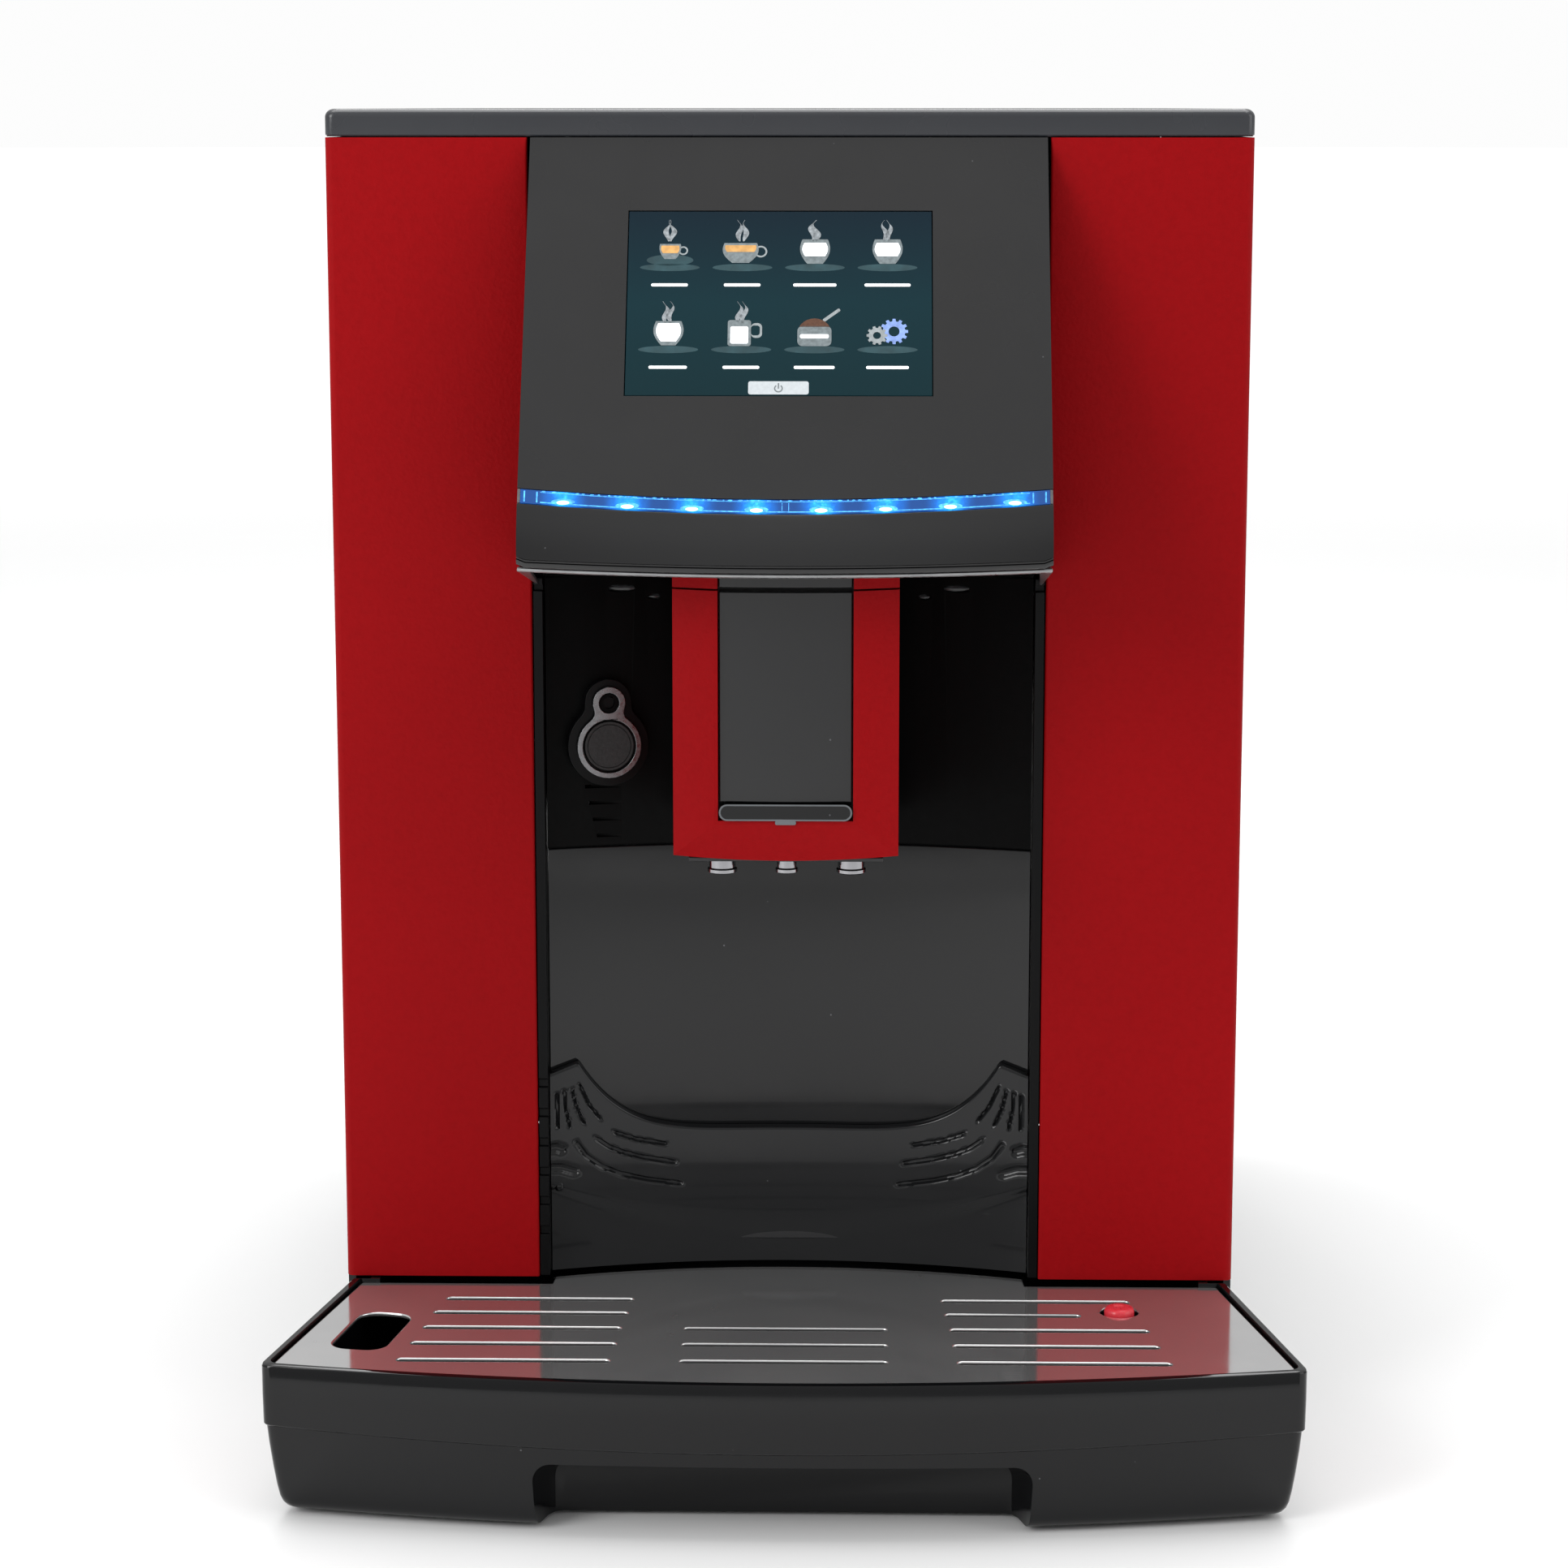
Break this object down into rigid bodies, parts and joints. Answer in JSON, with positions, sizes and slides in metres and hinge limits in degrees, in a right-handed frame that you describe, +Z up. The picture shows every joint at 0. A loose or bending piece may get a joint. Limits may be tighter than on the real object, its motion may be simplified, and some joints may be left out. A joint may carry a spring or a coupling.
{
  "type": "bean-to-cup coffee machine",
  "caption": "Fully automatic bean-to-cup coffee machine with a sloping touch fascia, a height-adjustable spout and a flared drip tray.",
  "frame": {"origin": "on the table, at the middle of the machine's bounding box in plan", "axes": "+Z up, +X to the right as seen from the front, the front with the spout and drip tray faces -Y"},
  "size_m": [0.3192, 0.458, 0.428],
  "materials": {
    "red_plastic": "deep red, fine satin texture",
    "gloss_black": "high gloss black",
    "satin_black": "satin black",
    "fascia_grey": "semi-gloss dark grey",
    "display_glass": "dark teal lit display",
    "light_bar": "blue lit strip",
    "smoked_plastic": "smoked transparent plastic",
    "polished_steel": "polished stainless steel",
    "chrome": "chrome plating",
    "rubber": "matt black rubber",
    "float_red": "bright red",
    "grey_plastic": "grey moulded plastic",
    "burr_steel": "hardened steel",
    "cast_aluminium": "matt cast aluminium",
    "circuit_board": "green circuit board",
    "silicone_hose": "milky silicone hose"
  },
  "bodies": {
    "machine": {"base_pan": "satin_black", "left_side_cover": "satin_black", "right_side_cover": "satin_black", "rear_cover": "satin_black", "top_cover": "gloss_black", "left_front_panel": "red_plastic", "right_front_panel": "red_plastic", "bay_upper_wall": "satin_black", "bay_lower_wall": "gloss_black", "left_bay_rail": "gloss_black", "right_bay_rail": "gloss_black", "milk_port_base": "satin_black", "milk_port_ring": "cast_aluminium", "fascia_panel": "fascia_grey", "touch_display": "display_glass", "led_light_bar": "light_bar", "fascia_chin": "gloss_black", "fascia_housing": "satin_black", "spout_collar": "red_plastic", "spout_guide_rail": "polished_steel", "bean_hopper": "smoked_plastic", "powder_chute": "satin_black", "tank_shelf": "grey_plastic", "grinder_body": "grey_plastic", "grinder_motor": "grey_plastic", "brew_frame": "grey_plastic", "brew_motor": "cast_aluminium", "coffee_boiler": "cast_aluminium", "water_pump": "grey_plastic", "tank_hose": "silicone_hose", "pump_hose": "silicone_hose", "brew_hose": "silicone_hose", "mainboard": "circuit_board", "power_socket": "satin_black", "foot_front_left": "rubber", "foot_front_right": "rubber", "foot_rear_left": "rubber", "foot_rear_right": "rubber"},
    "tray": {"drip_tray": "gloss_black", "grounds_container": "gloss_black"},
    "grid": {"drip_grid": "polished_steel"},
    "float": {"tray_float": "float_red"},
    "spout": {"spout_shell": "red_plastic", "spout_core": "satin_black", "spout_window": "gloss_black", "coffee_nozzle_left": "chrome", "coffee_nozzle_right": "chrome", "milk_nozzle": "chrome"},
    "milk_button": {"milk_release_button": "rubber"},
    "bean_lid": {"hopper_lid": "gloss_black"},
    "powder_flap": {"powder_lid": "gloss_black"},
    "knob": {"grind_knob": "grey_plastic"},
    "tank": {"water_tank": "smoked_plastic"},
    "tank_flap": {"tank_lid": "smoked_plastic"},
    "door": {"service_door": "satin_black"},
    "burr": {"lower_burr": "burr_steel"},
    "gear": {"brew_gear": "grey_plastic"},
    "pinion": {"brew_pinion": "burr_steel"},
    "piston": {"brew_piston": "cast_aluminium"},
    "rocker": {"power_rocker": "rubber"}
  },
  "joints": [
    {"name": "tray_slide", "type": "slide", "parent": "machine", "child": "tray", "axis": [0, -1, 0], "range_m": [0, 0.13]},
    {"name": "grid_lift", "type": "slide", "parent": "tray", "child": "grid", "axis": [0, 0, 1], "range_m": [0, 0.025]},
    {"name": "float_rise", "type": "slide", "parent": "tray", "child": "float", "axis": [0, 0, 1], "range_m": [0, 0.006]},
    {"name": "spout_slide", "type": "slide", "parent": "machine", "child": "spout", "axis": [0, 0, -1], "range_m": [0, 0.042]},
    {"name": "milk_button_press", "type": "slide", "parent": "machine", "child": "milk_button", "axis": [-0.2413, 0.9705, 0], "range_m": [0, 0.0018], "stiffness_N_per_m": 600, "springref_m": -0.001},
    {"name": "bean_lid_hinge", "type": "hinge", "parent": "machine", "child": "bean_lid", "pos_m": [-0.05, 0.0568, 0.4258], "axis": [-1, 0, 0], "range_deg": [0, 95]},
    {"name": "powder_lid_hinge", "type": "hinge", "parent": "machine", "child": "powder_flap", "pos_m": [0.082, -0.0072, 0.4258], "axis": [-1, 0, 0], "range_deg": [0, 95]},
    {"name": "knob_turn", "type": "hinge", "parent": "machine", "child": "knob", "pos_m": [0.068, 0.032, 0.4238], "axis": [0, 0, 1], "range_deg": [-75, 75]},
    {"name": "tank_lift", "type": "slide", "parent": "machine", "child": "tank", "axis": [0, 0, 1], "range_m": [0, 0.2]},
    {"name": "tank_lid_hinge", "type": "hinge", "parent": "tank", "child": "tank_flap", "pos_m": [0.066, 0.2128, 0.4258], "axis": [-1, 0, 0], "range_deg": [0, 95]},
    {"name": "door_hinge", "type": "hinge", "parent": "machine", "child": "door", "pos_m": [0.143, 0.064, 0.198], "axis": [0, 0, 1], "range_deg": [0, 95]},
    {"name": "burr_spin", "type": "hinge", "parent": "machine", "child": "burr", "pos_m": [-0.05, 0.001, 0.31], "axis": [0, 0, 1], "continuous": true},
    {"name": "gear_turn", "type": "hinge", "parent": "machine", "child": "gear", "pos_m": [0.098, -0.01, 0.2563], "axis": [0, 0, 1], "range_deg": [0, 1440]},
    {"name": "pinion_turn", "type": "hinge", "parent": "machine", "child": "pinion", "pos_m": [0.0617, -0.01, 0.2563], "axis": [0, 0, 1], "range_deg": [-4320, 0]},
    {"name": "piston_press", "type": "slide", "parent": "machine", "child": "piston", "axis": [0, 0, -1], "range_m": [0, 0.04]},
    {"name": "rocker_tilt", "type": "hinge", "parent": "machine", "child": "rocker", "pos_m": [-0.0615, 0.224, 0.034], "axis": [1, 0, 0], "range_deg": [0, 12]}
  ],
  "couplings": [
    {"joint": "pinion_turn", "follows": "gear_turn", "ratio": -3},
    {"joint": "piston_press", "follows": "gear_turn", "m_per_rad": 0.0015915}
  ]
}
